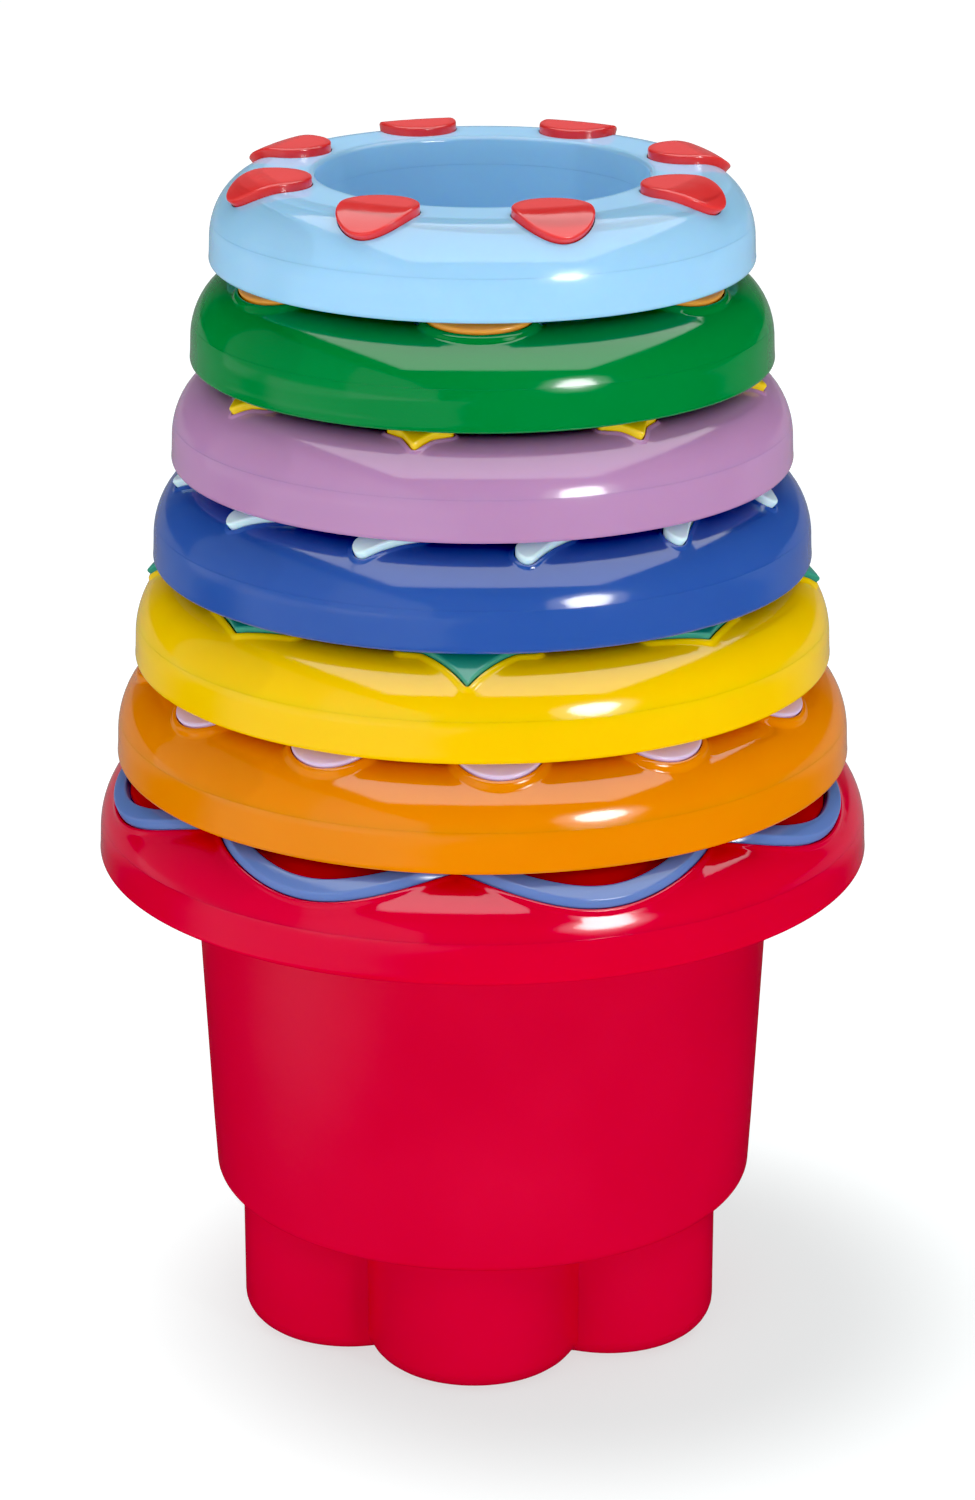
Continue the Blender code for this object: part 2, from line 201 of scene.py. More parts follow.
class Patchwork:
    """Surface patches, in metres, that are welded into one closed piece where their edges meet."""

    def __init__(self):
        self.points, self.faces, self.count = [], [], 0

    def add(self, points, faces):
        points = np.asarray(points)
        self.points.append(points)
        self.faces += [[index + self.count for index in face] for face in faces]
        self.count += len(points)

    def rings(self, rings, closed=False):
        """Quads between neighbouring rings of equal point counts; closed joins the last to the first."""
        size = len(rings[0])
        pairs = list(zip(range(len(rings)), range(1, len(rings))))
        if closed:
            pairs.append((len(rings) - 1, 0))
        faces = []
        for low, high in pairs:
            for index in range(size):
                after = (index + 1) % size
                under, over = low * size, high * size
                faces.append((under + index, under + after, over + after, over + index))
        self.add(np.concatenate(rings), faces)

    def fan(self, ring, centre):
        """Triangles from a ring to one point."""
        size = len(ring)
        self.add(np.vstack([ring, [centre]]), [(index, (index + 1) % size, size) for index in range(size)])

    def build(self, name):
        """The welded piece, with its normals outwards."""
        mesh = bpy.data.meshes.new(name)
        mesh.from_pydata(np.concatenate(self.points).tolist(), [], self.faces)
        form = bmesh.new()
        form.from_mesh(mesh)
        bmesh.ops.remove_doubles(form, verts=form.verts, dist=WELD)
        bmesh.ops.recalc_face_normals(form, faces=form.faces)
        form.to_mesh(mesh)
        form.free()
        smooth(mesh)
        obj = bpy.data.objects.new(name, mesh)
        bpy.context.scene.collection.objects.link(obj)
        return obj


def smooth(mesh):
    mesh.shade_smooth()
    mesh.set_sharp_from_angle(angle=SHARP_ANGLE)


def united(obj, other):
    """The obj with the other solid joined on by an exact Boolean, and the other removed."""
    join = obj.modifiers.new("join", "BOOLEAN")
    join.operation = "UNION"
    join.object = other
    join.solver = "EXACT"
    graph = bpy.context.evaluated_depsgraph_get()
    mesh = bpy.data.meshes.new_from_object(obj.evaluated_get(graph))
    obj.modifiers.clear()
    obj.data = mesh
    bpy.data.objects.remove(other)
    smooth(mesh)
    return obj


def ring_at(radii, z, count=SEGMENTS):
    """Ring of points at height z with a radius for each one, or one radius for all."""
    angles = np.arange(count) * 2 * math.pi / count
    radii = np.broadcast_to(radii, count)
    return np.stack([radii * np.sin(angles), -radii * np.cos(angles), np.full(count, z)], axis=1)


def quarter_turn(steps):
    """Angles from 0 to a right angle."""
    return np.radians(np.linspace(0, 90, steps + 1))


def arc(centre, radii, start, end, steps):
    """Points (radius, z) of an elliptical arc; angles in degrees from the outward direction, up positive."""
    angles = np.radians(np.linspace(start, end, steps + 1))
    return [(centre[0] + radii[0] * math.cos(a), centre[1] + radii[1] * math.sin(a)) for a in angles]


# ---- the collar's skin, laid out flat ----

class Skin:
    """Outside of a collar as a flat sheet: u runs round it, v from the mouth's edge down to the seam.

    Both are in millimetres. A lift moves a point off the surface along its normal.
    """

    def __init__(self, member):
        top, mouth = member.height, member.mouth_radius(member.height)
        turn = np.linspace(0, math.pi / 2, 60)
        edge = [mouth + MOUTH_EDGE * (1 - np.cos(turn)), top - MOUTH_EDGE * (1 - np.sin(turn))]
        flat = [np.linspace(mouth + MOUTH_EDGE, member.shoulder_start, 60)[1:], np.full(59, top)]
        lowest = SEAM_HEIGHT + (GAP + SEAM_SLIT) / 2 + SEAM_EDGE
        last = math.acos((lowest - SIDE_HEIGHT) / member.rise)
        down = np.linspace(0, last, 400)[1:]
        shoulder = [member.shoulder_start + SHOULDER_REACH * np.sin(down),
                    SIDE_HEIGHT + member.rise * np.cos(down)]
        self.r = np.concatenate([edge[0], flat[0], shoulder[0]])
        self.z = np.concatenate([edge[1], flat[1], shoulder[1]])
        out = np.stack([np.sin(down) / SHOULDER_REACH, np.cos(down) / member.rise])
        out /= np.linalg.norm(out, axis=0)
        self.normal_r = np.concatenate([-np.cos(turn), np.zeros(59), out[0]])
        self.normal_z = np.concatenate([np.sin(turn), np.ones(59), out[1]])
        lengths = np.hypot(np.diff(self.r), np.diff(self.z))
        self.v = np.concatenate([[0], np.cumsum(lengths)]) / MM
        self.base = member.base
        self.scale = (member.rim - 8 * MM) / MM      # millimetres of u for each radian

    def at_radius(self, radius):
        """The v at which the skin has this radius."""
        return np.interp(radius, self.r, self.v)

    def place(self, sheet, lift, turn=0.0):
        """World points for sheet points (u, v), lifted off the surface and turned round the axis."""
        u, v = np.asarray(sheet)[:, 0], np.asarray(sheet)[:, 1]
        radius = np.interp(v, self.v, self.r) + lift * np.interp(v, self.v, self.normal_r)
        z = np.interp(v, self.v, self.z) + lift * np.interp(v, self.v, self.normal_z)
        angle = turn + u / self.scale
        return np.stack([radius * np.sin(angle), -radius * np.cos(angle), self.base + z], axis=1)

    def lay(self, plan, middle=0.0):
        """Sheet points for plan points (across, out) in metres, where out is the distance from the axis."""
        plan = np.asarray(plan)
        angle = np.arctan2(plan[:, 0], plan[:, 1])
        radius = np.hypot(plan[:, 0], plan[:, 1])
        return np.stack([(middle + angle) * self.scale, self.at_radius(radius)], axis=1)


# ---- outlines, drawn flat: x across, y outwards ----

def rounded(corners, radii, step=OUTLINE_STEP):
    """Closed outline through the corners, each rounded by its own radius, as evenly spaced points."""
    count = len(corners)
    corners = [Vector(corner) for corner in corners]
    path = []
    for index, (here, radius) in enumerate(zip(corners, radii)):
        before = (corners[index - 1] - here).normalized()
        after = (corners[(index + 1) % count] - here).normalized()
        half = before.angle(after) / 2
        reach = radius / math.tan(half)
        centre = here + (before + after).normalized() * (radius / math.sin(half))
        start, end = here + before * reach, here + after * reach
        sweep = (start - centre).angle_signed(end - centre)
        steps = max(3, round(abs(sweep) * radius / step))
        for turn in range(steps + 1):
            angle = -sweep * turn / steps
            spoke = start - centre
            path.append(centre + Vector((spoke.x * math.cos(angle) - spoke.y * math.sin(angle),
                                         spoke.x * math.sin(angle) + spoke.y * math.cos(angle))))
    return spaced(np.array([tuple(point) for point in path]), step)


def spaced(points, step, closed=True):
    """Long gaps in an outline filled with evenly spaced points; the corners stay."""
    ends = np.roll(points, -1, axis=0) if closed else points[1:]
    result = []
    for start, end in zip(points, ends):
        parts = max(1, round(np.linalg.norm(end - start) / step))
        result += [start + (end - start) * part / parts for part in range(parts)]
    if not closed:
        result.append(points[-1])
    return np.array(result)


def oval(half_width, half_length):
    """Ellipse, with half its size across and outwards."""
    count = round(math.pi * (half_width + half_length) / OUTLINE_STEP)
    angles = np.arange(count) * 2 * math.pi / count
    return np.stack([half_width * np.cos(angles), half_length * np.sin(angles)], axis=1)


def leaf(flank, radii):
    """Pointed shape with its tip at y = 0, mirrored about the y axis; flank lists one side's corners."""
    corners = [(-x, y) for x, y in flank] + [(x, y) for x, y in reversed(flank)]
    return rounded(corners + [(0, 0)], radii + radii[::-1] + [LEAF_TIP])


def star(tip, notch, points=5):
    """Star with a point outwards; tip and notch are the corners' distances from its middle."""
    corners, radii = [], []
    for index in range(points * 2):
        angle = math.pi / 2 + math.pi * index / points
        radius = notch if index % 2 else tip
        corners.append((radius * math.cos(angle), radius * math.sin(angle)))
        radii.append(STAR_NOTCH if index % 2 else STAR_TIP)
    return rounded(corners, radii)


def dash(half_length, half_width, slant):
    """Bar with round ends, turned by the slant."""
    side = half_length - half_width
    bar = [(half_width, -side - half_width), (half_width, side + half_width)]
    bar += [(-half_width, side + half_width), (-half_width, -side - half_width)]
    outline = rounded(bar, [half_width * 0.96] * 4)
    cos, sin = math.cos(slant), math.sin(slant)
    return outline @ np.array([[cos, sin], [-sin, cos]])


def offset(outline, distance, closed=True):
    """Outline moved outwards by the distance, point by point, along its smoothed normals."""
    if closed:
        along = np.roll(outline, -1, axis=0) - np.roll(outline, 1, axis=0)
    else:
        along = np.gradient(outline, axis=0)
    normal = np.stack([along[:, 1], -along[:, 0]], axis=1)
    normal /= np.linalg.norm(normal, axis=1)[:, None]
    return outline + normal * distance


def anticlockwise(outline):
    """The closed outline, turned round if it runs clockwise."""
    x, y = outline[:, 0], outline[:, 1]
    area = np.sum(x * np.roll(y, -1) - np.roll(x, -1) * y)
    return outline if area > 0 else outline[::-1]


def inside(points, outline):
    """Which points lie inside a closed outline."""
    x, y = points[:, 0][:, None], points[:, 1][:, None]
    x0, y0 = outline[:, 0][None], outline[:, 1][None]
    x1, y1 = np.roll(x0, -1), np.roll(y0, -1)
    crosses = (y0 > y) != (y1 > y)
    with np.errstate(divide="ignore", invalid="ignore"):
        meets = x < (x1 - x0) * (y - y0) / (y1 - y0) + x0
    return np.sum(crosses & meets, axis=1) % 2 == 1


def distance_to(points, outline):
    """Each point's distance from the nearest point of an outline."""
    return np.min(np.linalg.norm(points[:, None] - outline[None], axis=2), axis=1)


# ---- the sheet of one sector, triangulated ----

def sheet(columns, rows, lines, dropped):
    """Triangles of a flat sector with the given grid columns and rows, following the given lines.

    Each line is (points, lift, closed); grid points that the dropped function marks are left out.
    Returns the sheet points, their lifts and the triangles.
    """
    grid = np.array([(u, v) for u in columns for v in rows])
    border = (grid[:, 0] == columns[0]) | (grid[:, 0] == columns[-1])
    border |= (grid[:, 1] == rows[0]) | (grid[:, 1] == rows[-1])
    grid = grid[border | ~dropped(grid)]
    points, lifts = [grid], [np.zeros(len(grid))]
    edges = []
    count = len(grid)
    for line, lift, closed in lines:
        size = len(line)
        edges += [(count + step, count + (step + 1) % size) for step in range(size if closed else size - 1)]
        points.append(line)
        lifts.append(np.full(size, lift))
        count += size
    points = np.concatenate(points)
    lifts = np.concatenate(lifts)
    result = delaunay_2d_cdt([Vector(point) for point in points], edges, [], 0, MERGE, True)
    flat = np.array([tuple(point) for point in result[0]])
    source = [origins[0] if origins else -1 for origins in result[3]]
    known = np.array([index if index >= 0 else 0 for index in source])
    flat = np.where(np.array(source)[:, None] >= 0, points[known], flat)
    return flat, lifts[known], np.array([tuple(face) for face in result[2]])


def lip_lines(outline, height, width):
    """Loops round a window that swell up from the skin to a rounded lip of the given height."""
    loops = [(offset(outline, WINDOW_GAP / MM), max(height - WINDOW_DROP, 0), True)]
    if height == 0:
        loops.append((offset(outline, (WINDOW_GAP + PLAIN_RIM) / MM), 0, True))
        return loops
    for share in (0.07, 0.2, 0.38, 0.55, 0.72, 0.88, 1.0):
        rise = 0.5 + 0.5 * math.cos(math.pi * max(share - 0.2, 0) / 0.8)
        loops.append((offset(outline, (WINDOW_GAP + width * share) / MM), height * rise, True))
    return loops


class CapPattern:
    """Windows of one collar: outlines on the sheet of one sector, and how often the sector repeats."""

    def __init__(self, count, turn, outlines=(), lip_height=0, lip_width=0):
        self.count, self.turn, self.outlines = count, turn, outlines
        self.lip_height, self.lip_width = lip_height, lip_width


def grid_lines(low, high, step):
    """Evenly spaced values from low to high, no further apart than the step."""
    return np.linspace(low, high, max(2, math.ceil((high - low) / step) + 1))


def sector_turns(pattern):
    """The angle of each sector's middle."""
    return [pattern.turn + 2 * math.pi * index / pattern.count for index in range(pattern.count)]


def collar_ring(skin, columns, pattern, v, lift, shift=(0, 0)):
    """The whole ring of sheet points at one v, sector after sector, with a shift of (radius, z)."""
    rings = []
    for turn in sector_turns(pattern):
        row = np.stack([columns[:-1], np.full(len(columns) - 1, v)], axis=1)
        rings.append(skin.place(row, lift, turn))
    ring = np.concatenate(rings)
    length = np.hypot(ring[:, 0], ring[:, 1])
    ring[:, :2] *= ((length + shift[0]) / length)[:, None]
    ring[:, 2] += shift[1]
    return ring


def close_cap(patches, skin, member, columns, pattern, inner_start):
    """The cap's turned-down lip at the mouth and its lower edge at the seam."""
    def at(radius, z):
        ring = collar_ring(skin, columns, pattern, 0, 0)
        length = np.hypot(ring[:, 0], ring[:, 1])
        ring[:, :2] *= (radius / length)[:, None]
        ring[:, 2] = member.base + z
        return ring

    top = member.height
    lip = top - MOUTH_LIP
    mouth = member.mouth_radius(top)
    rings = [collar_ring(skin, columns, pattern, 0, 0)]
    for share in (0.35, 0.7):
        z = top - MOUTH_EDGE + (lip - top + MOUTH_EDGE) * share
        rings.append(at(member.mouth_radius(z), z))
    rings += [
        at(member.mouth_radius(lip), lip + SEAM_EDGE),
        at(member.mouth_radius(lip) + SEAM_EDGE, lip),
        at(mouth + LIP_WALL - SEAM_EDGE, lip),
        at(mouth + LIP_WALL, lip + SEAM_EDGE),
        at(mouth + LIP_WALL, top - COLLAR_WALL),
        collar_ring(skin, columns, pattern, inner_start, -COLLAR_WALL),
    ]
    patches.rings(rings)
    end = skin.v[-1]
    patches.rings([
        collar_ring(skin, columns, pattern, end, 0),
        collar_ring(skin, columns, pattern, end, 0, (-SEAM_EDGE, -SEAM_EDGE)),
        collar_ring(skin, columns, pattern, end, -COLLAR_WALL, (SEAM_EDGE, 0)),
        collar_ring(skin, columns, pattern, end, -COLLAR_WALL),
    ])


def cap_grid(member, skin, pattern):
    """Sheet columns of one sector, rows for its outside and rows for its inside."""
    half = math.pi / pattern.count * skin.scale
    columns = grid_lines(-half, half, CELL / MM)
    mouth = member.mouth_radius(member.height)
    edge_rows = np.linspace(0, skin.at_radius(mouth + MOUTH_EDGE), EDGE_ROWS)
    rows = grid_lines(0, skin.v[-1], CELL / MM)
    rows = np.concatenate([edge_rows, rows[rows > edge_rows[-1] + EDGE_MARGIN / MM]])
    inner_rows = grid_lines(skin.at_radius(mouth + LIP_WALL + 0.1 * MM), skin.v[-1], CELL / MM)
    return columns, rows, inner_rows


def windowed_cap(member, skin, pattern):
    """Collar cap with lipped windows right through it."""
    columns, rows, inner_rows = cap_grid(member, skin, pattern)
    lips = [lip_lines(outline, pattern.lip_height, pattern.lip_width) for outline in pattern.outlines]
    lines = [line for lip in lips for line in lip]
    holes = [lip[0][0] for lip in lips]
    borders = [lip[-1][0] for lip in lips]

    def dropped(grid, around):
        marks = np.zeros(len(grid), bool)
        for outline in around:
            marks |= inside(grid, outline) | (distance_to(grid, outline) < CLEARANCE / MM)
        return marks

    hole_lines = [(hole, 0, True) for hole in holes]
    outer = sheet(columns, rows, lines, lambda grid: dropped(grid, borders))
    inner = sheet(columns, inner_rows, hole_lines, lambda grid: dropped(grid, holes))
    patches = Patchwork()
    for turn in sector_turns(pattern):
        for (flat, lifts, faces), depth in ((outer, 0), (inner, -COLLAR_WALL)):
            centres = flat[faces].mean(axis=1)
            open_faces = np.zeros(len(faces), bool)
            for hole in holes:
                open_faces |= inside(centres, hole)
            patches.add(skin.place(flat, lifts + depth, turn), faces[~open_faces].tolist())
        for lip in lips:
            hole, lift, _ = lip[0]
            patches.rings([skin.place(hole, lift, turn), skin.place(hole, -COLLAR_WALL, turn)])
    close_cap(patches, skin, member, columns, pattern, inner_rows[0])
    return patches.build(member.cap + "_fine")


# ---- the bucket's scalloped band and its groove ----

def wave_line(member, skin, across):
    """Sheet line of one scallop, moved sideways by across (outwards positive), from border to border."""
    half = math.pi / WAVE_SCALLOPS
    lean = np.linspace(-1.35 * half, 1.35 * half, 241)
    centre = member.rim - WAVE_CENTRE
    radius = centre * np.cos(lean) + np.sqrt(WAVE_ARC ** 2 - (centre * np.sin(lean)) ** 2)
    line = np.stack([lean * skin.scale, skin.at_radius(radius)], axis=1)
    line = offset(line, -across / MM, closed=False)
    border = half * skin.scale
    order = np.argsort(line[:, 0])
    line = line[order]
    low = np.interp(-border, line[:, 0], line[:, 1])
    high = np.interp(border, line[:, 0], line[:, 1])
    middle = line[np.abs(line[:, 0]) < border - 0.05]
    line = np.vstack([[-border, low], middle, [border, high]])
    lengths = np.concatenate([[0], np.cumsum(np.linalg.norm(np.diff(line, axis=0), axis=1))])
    even = np.linspace(0, lengths[-1], WAVE_POINTS)
    result = np.stack([np.interp(even, lengths, line[:, 0]), np.interp(even, lengths, line[:, 1])], axis=1)
    result[0, 0], result[-1, 0] = -border, border
    return result


def grooved_cap(member, skin, pattern):
    """The bucket's collar cap, with the scalloped groove that its band lies in."""
    columns, rows, inner_rows = cap_grid(member, skin, pattern)
    edge = WAVE_HALF_WIDTH + WINDOW_GAP
    lines = []
    for side in (-1, 1):
        for out, lift in GROOVE_SWELL:
            lines.append((wave_line(member, skin, side * (edge + out)), lift, False))
    outermost = GROOVE_REACH + edge
    middle = wave_line(member, skin, 0)
    low, high = wave_line(member, skin, -outermost), wave_line(member, skin, outermost)

    def between(points, low, high):
        below = np.interp(points[:, 0], low[:, 0], low[:, 1])
        above = np.interp(points[:, 0], high[:, 0], high[:, 1])
        return (points[:, 1] > below) & (points[:, 1] < above)

    def dropped(grid):
        near = distance_to(grid, middle) < (outermost + CLEARANCE) / MM
        return near | between(grid, low, high)

    flat, lifts, faces = sheet(columns, rows, lines, dropped)
    inner_edges = (wave_line(member, skin, -edge), wave_line(member, skin, edge))
    floor_faces = between(flat[faces].mean(axis=1), *inner_edges)
    inner_flat, _, inner_faces = sheet(columns, inner_rows, [], lambda grid: np.zeros(len(grid), bool))
    patches = Patchwork()
    for turn in sector_turns(pattern):
        patches.add(skin.place(flat, lifts, turn), faces[~floor_faces].tolist())
        patches.add(skin.place(flat, -GROOVE_DEPTH, turn), faces[floor_faces].tolist())
        patches.add(skin.place(inner_flat, -COLLAR_WALL, turn), inner_faces.tolist())
        for line in inner_edges:
            top, bottom = skin.place(line, GROOVE_LIP, turn), skin.place(line, -GROOVE_DEPTH, turn)
            size = len(line)
            walls = [(step, step + 1, size + step + 1, size + step) for step in range(size - 1)]
            patches.add(np.vstack([top, bottom]), walls)
    close_cap(patches, skin, member, columns, pattern, inner_rows[0])
    return patches.build(member.cap + "_fine")


def wave_band(member, skin, pattern):
    """Scalloped band with a flat face, a rounded inner shoulder and a steep bevel along its outer side."""
    half, top = WAVE_HALF_WIDTH, member.raised
    section = [(-half, GAP - GROOVE_DEPTH)]
    for angle in quarter_turn(5):
        drawn_in = WAVE_ROUND * (1 - math.cos(angle))
        section.append((-half + drawn_in, top - WAVE_ROUND * (1 - math.sin(angle))))
    bevel = half - WAVE_BEVEL
    section += [(-half * 0.35, top), (bevel - 0.3 * MM, top), (bevel - 0.1 * MM, top - 0.03 * MM)]
    section += [(bevel + 0.08 * MM, top - 0.14 * MM), (half - 0.15 * MM, 0.35 * MM), (half, 0.1 * MM)]
    section.append((half, GAP - GROOVE_DEPTH))
    lines = [(wave_line(member, skin, across), lift) for across, lift in section]
    size = len(lines[0][0])
    patches = Patchwork()
    for turn in sector_turns(pattern):
        strips = [skin.place(line, lift, turn) for line, lift in lines]
        faces = []
        for low in range(len(strips)):
            high = (low + 1) % len(strips)
            for step in range(size - 1):
                under, over = low * size + step, high * size + step
                faces.append((under, under + 1, over + 1, over))
        patches.add(np.concatenate(strips), faces)
    return patches.build(member.inlay + "_fine")


# ---- pads ----

def pad_surface(outline):
    """A pad's middle, and rings from it to the rounded edge, as (sheet points, depth below the face)."""
    centre = outline.mean(axis=0)
    rings = [(centre + (outline - centre) * share, 0.0) for share in (0.18, 0.38, 0.58, 0.74)]
    for angle in quarter_turn(5)[::-1]:
        drawn_in = PAD_EDGE * (1 - math.cos(angle))
        rings.append((offset(outline, -drawn_in / MM), PAD_EDGE * (1 - math.sin(angle))))
    return centre, rings


def pad_ring(member, skin, pattern):
    """Raised pads that stand up through the cap's windows, joined under it by the carrier ring."""
    patches = Patchwork()
    for turn in sector_turns(pattern):
        for outline in pattern.outlines:
            centre, rings = pad_surface(outline)
            placed = [skin.place(points, member.raised - below, turn) for points, below in rings]
            placed.append(skin.place(outline, 0, turn))
            placed.append(skin.place(outline, -PAD_DEPTH, turn))
            placed.append(skin.place(centre + (outline - centre) * 0.5, -PAD_DEPTH, turn))
            patches.rings(placed)
            patches.fan(placed[0], skin.place([centre], member.raised, turn)[0])
            patches.fan(placed[-1], skin.place([centre], -PAD_DEPTH, turn)[0])
    pads = patches.build(member.inlay + "_fine")
    high = member.base + member.height - CARRIER_DROP
    low = high - CARRIER_THICKNESS
    inner, outer = member.rim - CARRIER_INNER, member.rim - CARRIER_OUTER
    ring = Patchwork()
    section = [(inner, low), (outer, low), (outer, high), (inner, high)]
    ring.rings([ring_at(radius, z, CARRIER_SEGMENTS) for radius, z in section], closed=True)
    return united(pads, ring.build(member.inlay + "_carrier"))


# ---- cups ----

def lobed(member, inset):
    """Radius of the six-lobed outline at each point of a ring, its creases slightly filled."""
    centre = LOBE_CENTRE * member.reach
    radius = LOBE_RADIUS * member.reach - inset
    angles = np.arange(SEGMENTS) * 2 * math.pi / SEGMENTS - FOOT_TURN
    pitch = 2 * math.pi / FOOT_LOBES
    lean = (angles + pitch / 2) % pitch - pitch / 2

    def reach(turn):
        return centre * np.cos(turn) + np.sqrt(np.maximum(radius ** 2 - (centre * np.sin(turn)) ** 2, 0))

    here, beside = reach(lean), reach(pitch - np.abs(lean))
    overlap = np.maximum(LOBE_BLEND - np.abs(here - beside), 0) / LOBE_BLEND
    return np.maximum(here, beside) + overlap ** 2 * LOBE_BLEND / 4


def foot_rings(member):
    """Outside of the foot, from the middle of its underside up to the underside of the body."""
    bottom, step = -member.depth, member.step
    rounding = FOOT_ROUND * member.reach
    rings = [ring_at(lobed(member, rounding) * share, bottom) for share in (0.3, 0.6, 0.85)]
    for angle in quarter_turn(8):
        inset = rounding * (1 - math.sin(angle))
        rings.append(ring_at(lobed(member, inset), bottom + rounding * (1 - math.cos(angle))))
    straight = step - bottom - rounding - FOOT_FILLET
    for share in (0.3, 0.6, 0.9):
        rings.append(ring_at(lobed(member, 0), bottom + rounding + straight * share))
    for angle in quarter_turn(4):
        out = FOOT_FILLET * (1 - math.cos(angle))
        rings.append(ring_at(lobed(member, -out), step - FOOT_FILLET * (1 - math.sin(angle))))
    return rings


def body_rings(member):
    """Outside of the body and of the collar's lower half, up to the seam."""
    step = member.step
    edge = member.body_radius(step) - BODY_EDGE
    last = lobed(member, -FOOT_FILLET)
    rings = [ring_at(last + (edge - last) * share, step) for share in (0.35, 0.7)]
    profile = arc((edge, step + BODY_EDGE), (BODY_EDGE, BODY_EDGE), -90, 0, 7)
    fillet = 1.2 * MM
    for share in np.linspace(0.15, 1, 7):
        z = step + BODY_EDGE - (step + BODY_EDGE + fillet) * share
        profile.append((member.body_radius(z), z))
    start = member.body_radius(-fillet)
    profile += arc((start + fillet, -fillet), (fillet, fillet), 165, 90, 5)
    middle = (start + member.rim) / 2
    profile += [(middle, 0)]
    profile += arc((member.rim - COLLAR_EDGE, COLLAR_EDGE), (COLLAR_EDGE, COLLAR_EDGE), -90, 0, 7)
    seam = SEAM_HEIGHT + (GAP - SEAM_SLIT) / 2
    heights = list(np.linspace(COLLAR_EDGE, seam - 5 * SEAM_EDGE, 9)[1:]) + [seam - SEAM_EDGE]
    profile += [(member.side_radius(z), z) for z in heights]
    profile.append((member.side_radius(seam) - SEAM_EDGE, seam))
    return rings + [ring_at(radius, z) for radius, z in profile]


def inner_rings(member):
    """Channel under the cap, and the inside of the cup down to the middle of its foot."""
    seam = SEAM_HEIGHT + (GAP - SEAM_SLIT) / 2
    inner_side = member.side_radius(seam) - COLLAR_WALL
    top = member.height - MOUTH_LIP - SEAM_SLIT
    floor = member.step + BODY_WALL
    profile = [
        (inner_side + SEAM_EDGE, seam),
        (inner_side, seam - SEAM_EDGE),
        (inner_side, COLLAR_WALL + 0.8 * MM),
        (inner_side - 0.8 * MM, COLLAR_WALL),
        (member.body_radius(COLLAR_WALL), COLLAR_WALL),
        (member.body_radius(top), top - SEAM_EDGE),
        (member.body_radius(top) - SEAM_EDGE, top),
        (member.mouth_radius(top) + SEAM_EDGE, top),
    ]
    fillet = 2.5 * MM
    for z in np.linspace(top - SEAM_EDGE, floor + fillet, 10):
        profile.append((member.mouth_radius(z), z))
    corner = member.mouth_radius(floor + fillet) - fillet
    profile += arc((corner, floor + fillet), (fillet, fillet), 0, -90, 6)[1:]
    rings = [ring_at(radius, z) for radius, z in profile]
    edge = 0.8 * MM
    outer = lobed(member, BODY_WALL - edge)
    rings.append(ring_at((corner + outer) / 2, floor))
    for angle in quarter_turn(4)[::-1]:
        inset = BODY_WALL - edge * (1 - math.cos(angle))
        rings.append(ring_at(lobed(member, inset), floor - edge * (1 - math.sin(angle))))
    foot_floor = -member.depth + BODY_WALL
    depth_below = floor - edge - foot_floor
    for share in (0.35, 0.7):
        rings.append(ring_at(lobed(member, BODY_WALL), floor - edge - depth_below * share))
    base = lobed(member, BODY_WALL)
    rings.append(ring_at(base, foot_floor + 0.6 * MM))
    rings.append(ring_at(base - 0.6 * MM, foot_floor))
    rings += [ring_at(base * share, foot_floor) for share in (0.7, 0.35)]
    return rings


def fine_cup(member):
    """Foot, body and the collar's lower half as one closed piece."""
    patches = Patchwork()
    rings = foot_rings(member) + body_rings(member) + inner_rings(member)
    patches.rings(rings)
    patches.fan(rings[0], (0, 0, -member.depth))
    patches.fan(rings[-1], (0, 0, -member.depth + BODY_WALL))
    patches.points = [points + np.array([0, 0, member.base]) for points in patches.points]
    return patches.build(member.cup + "_fine")


# ---- materials ----

def linear(channel):
    """Linear value of an sRGB channel given from 0 to 255."""
    value = channel / 255
    return value / 12.92 if value <= 0.04045 else ((value + 0.055) / 1.055) ** 2.4


def colour(srgb):
    """Shader colour for sRGB channels given from 0 to 255."""
    return (*[linear(channel) for channel in srgb], 1)


def ramp(tree, source, start, end, low=0.0, high=1.0, eased=True):
    """Output that goes from low to high while the source goes from start to end."""
    node = tree.nodes.new("ShaderNodeMapRange")
    if eased:
        node.interpolation_type = "SMOOTHSTEP"
    node.inputs["From Min"].default_value = start
    node.inputs["From Max"].default_value = end
    node.inputs["To Min"].default_value = low
    node.inputs["To Max"].default_value = high
    tree.links.new(source, node.inputs["Value"])
    return node.outputs["Result"]


def maths(tree, operation, first, second):
    """Output of a math node with two linked inputs."""
    node = tree.nodes.new("ShaderNodeMath")
    node.operation = operation
    tree.links.new(first, node.inputs[0])
    tree.links.new(second, node.inputs[1])
    return node.outputs["Value"]


def noise(tree, place, scale, detail):
    """Output of a noise texture."""
    node = tree.nodes.new("ShaderNodeTexNoise")
    node.inputs["Scale"].default_value = scale
    node.inputs["Detail"].default_value = detail
    tree.links.new(place, node.inputs["Vector"])
    return node.outputs["Fac"]


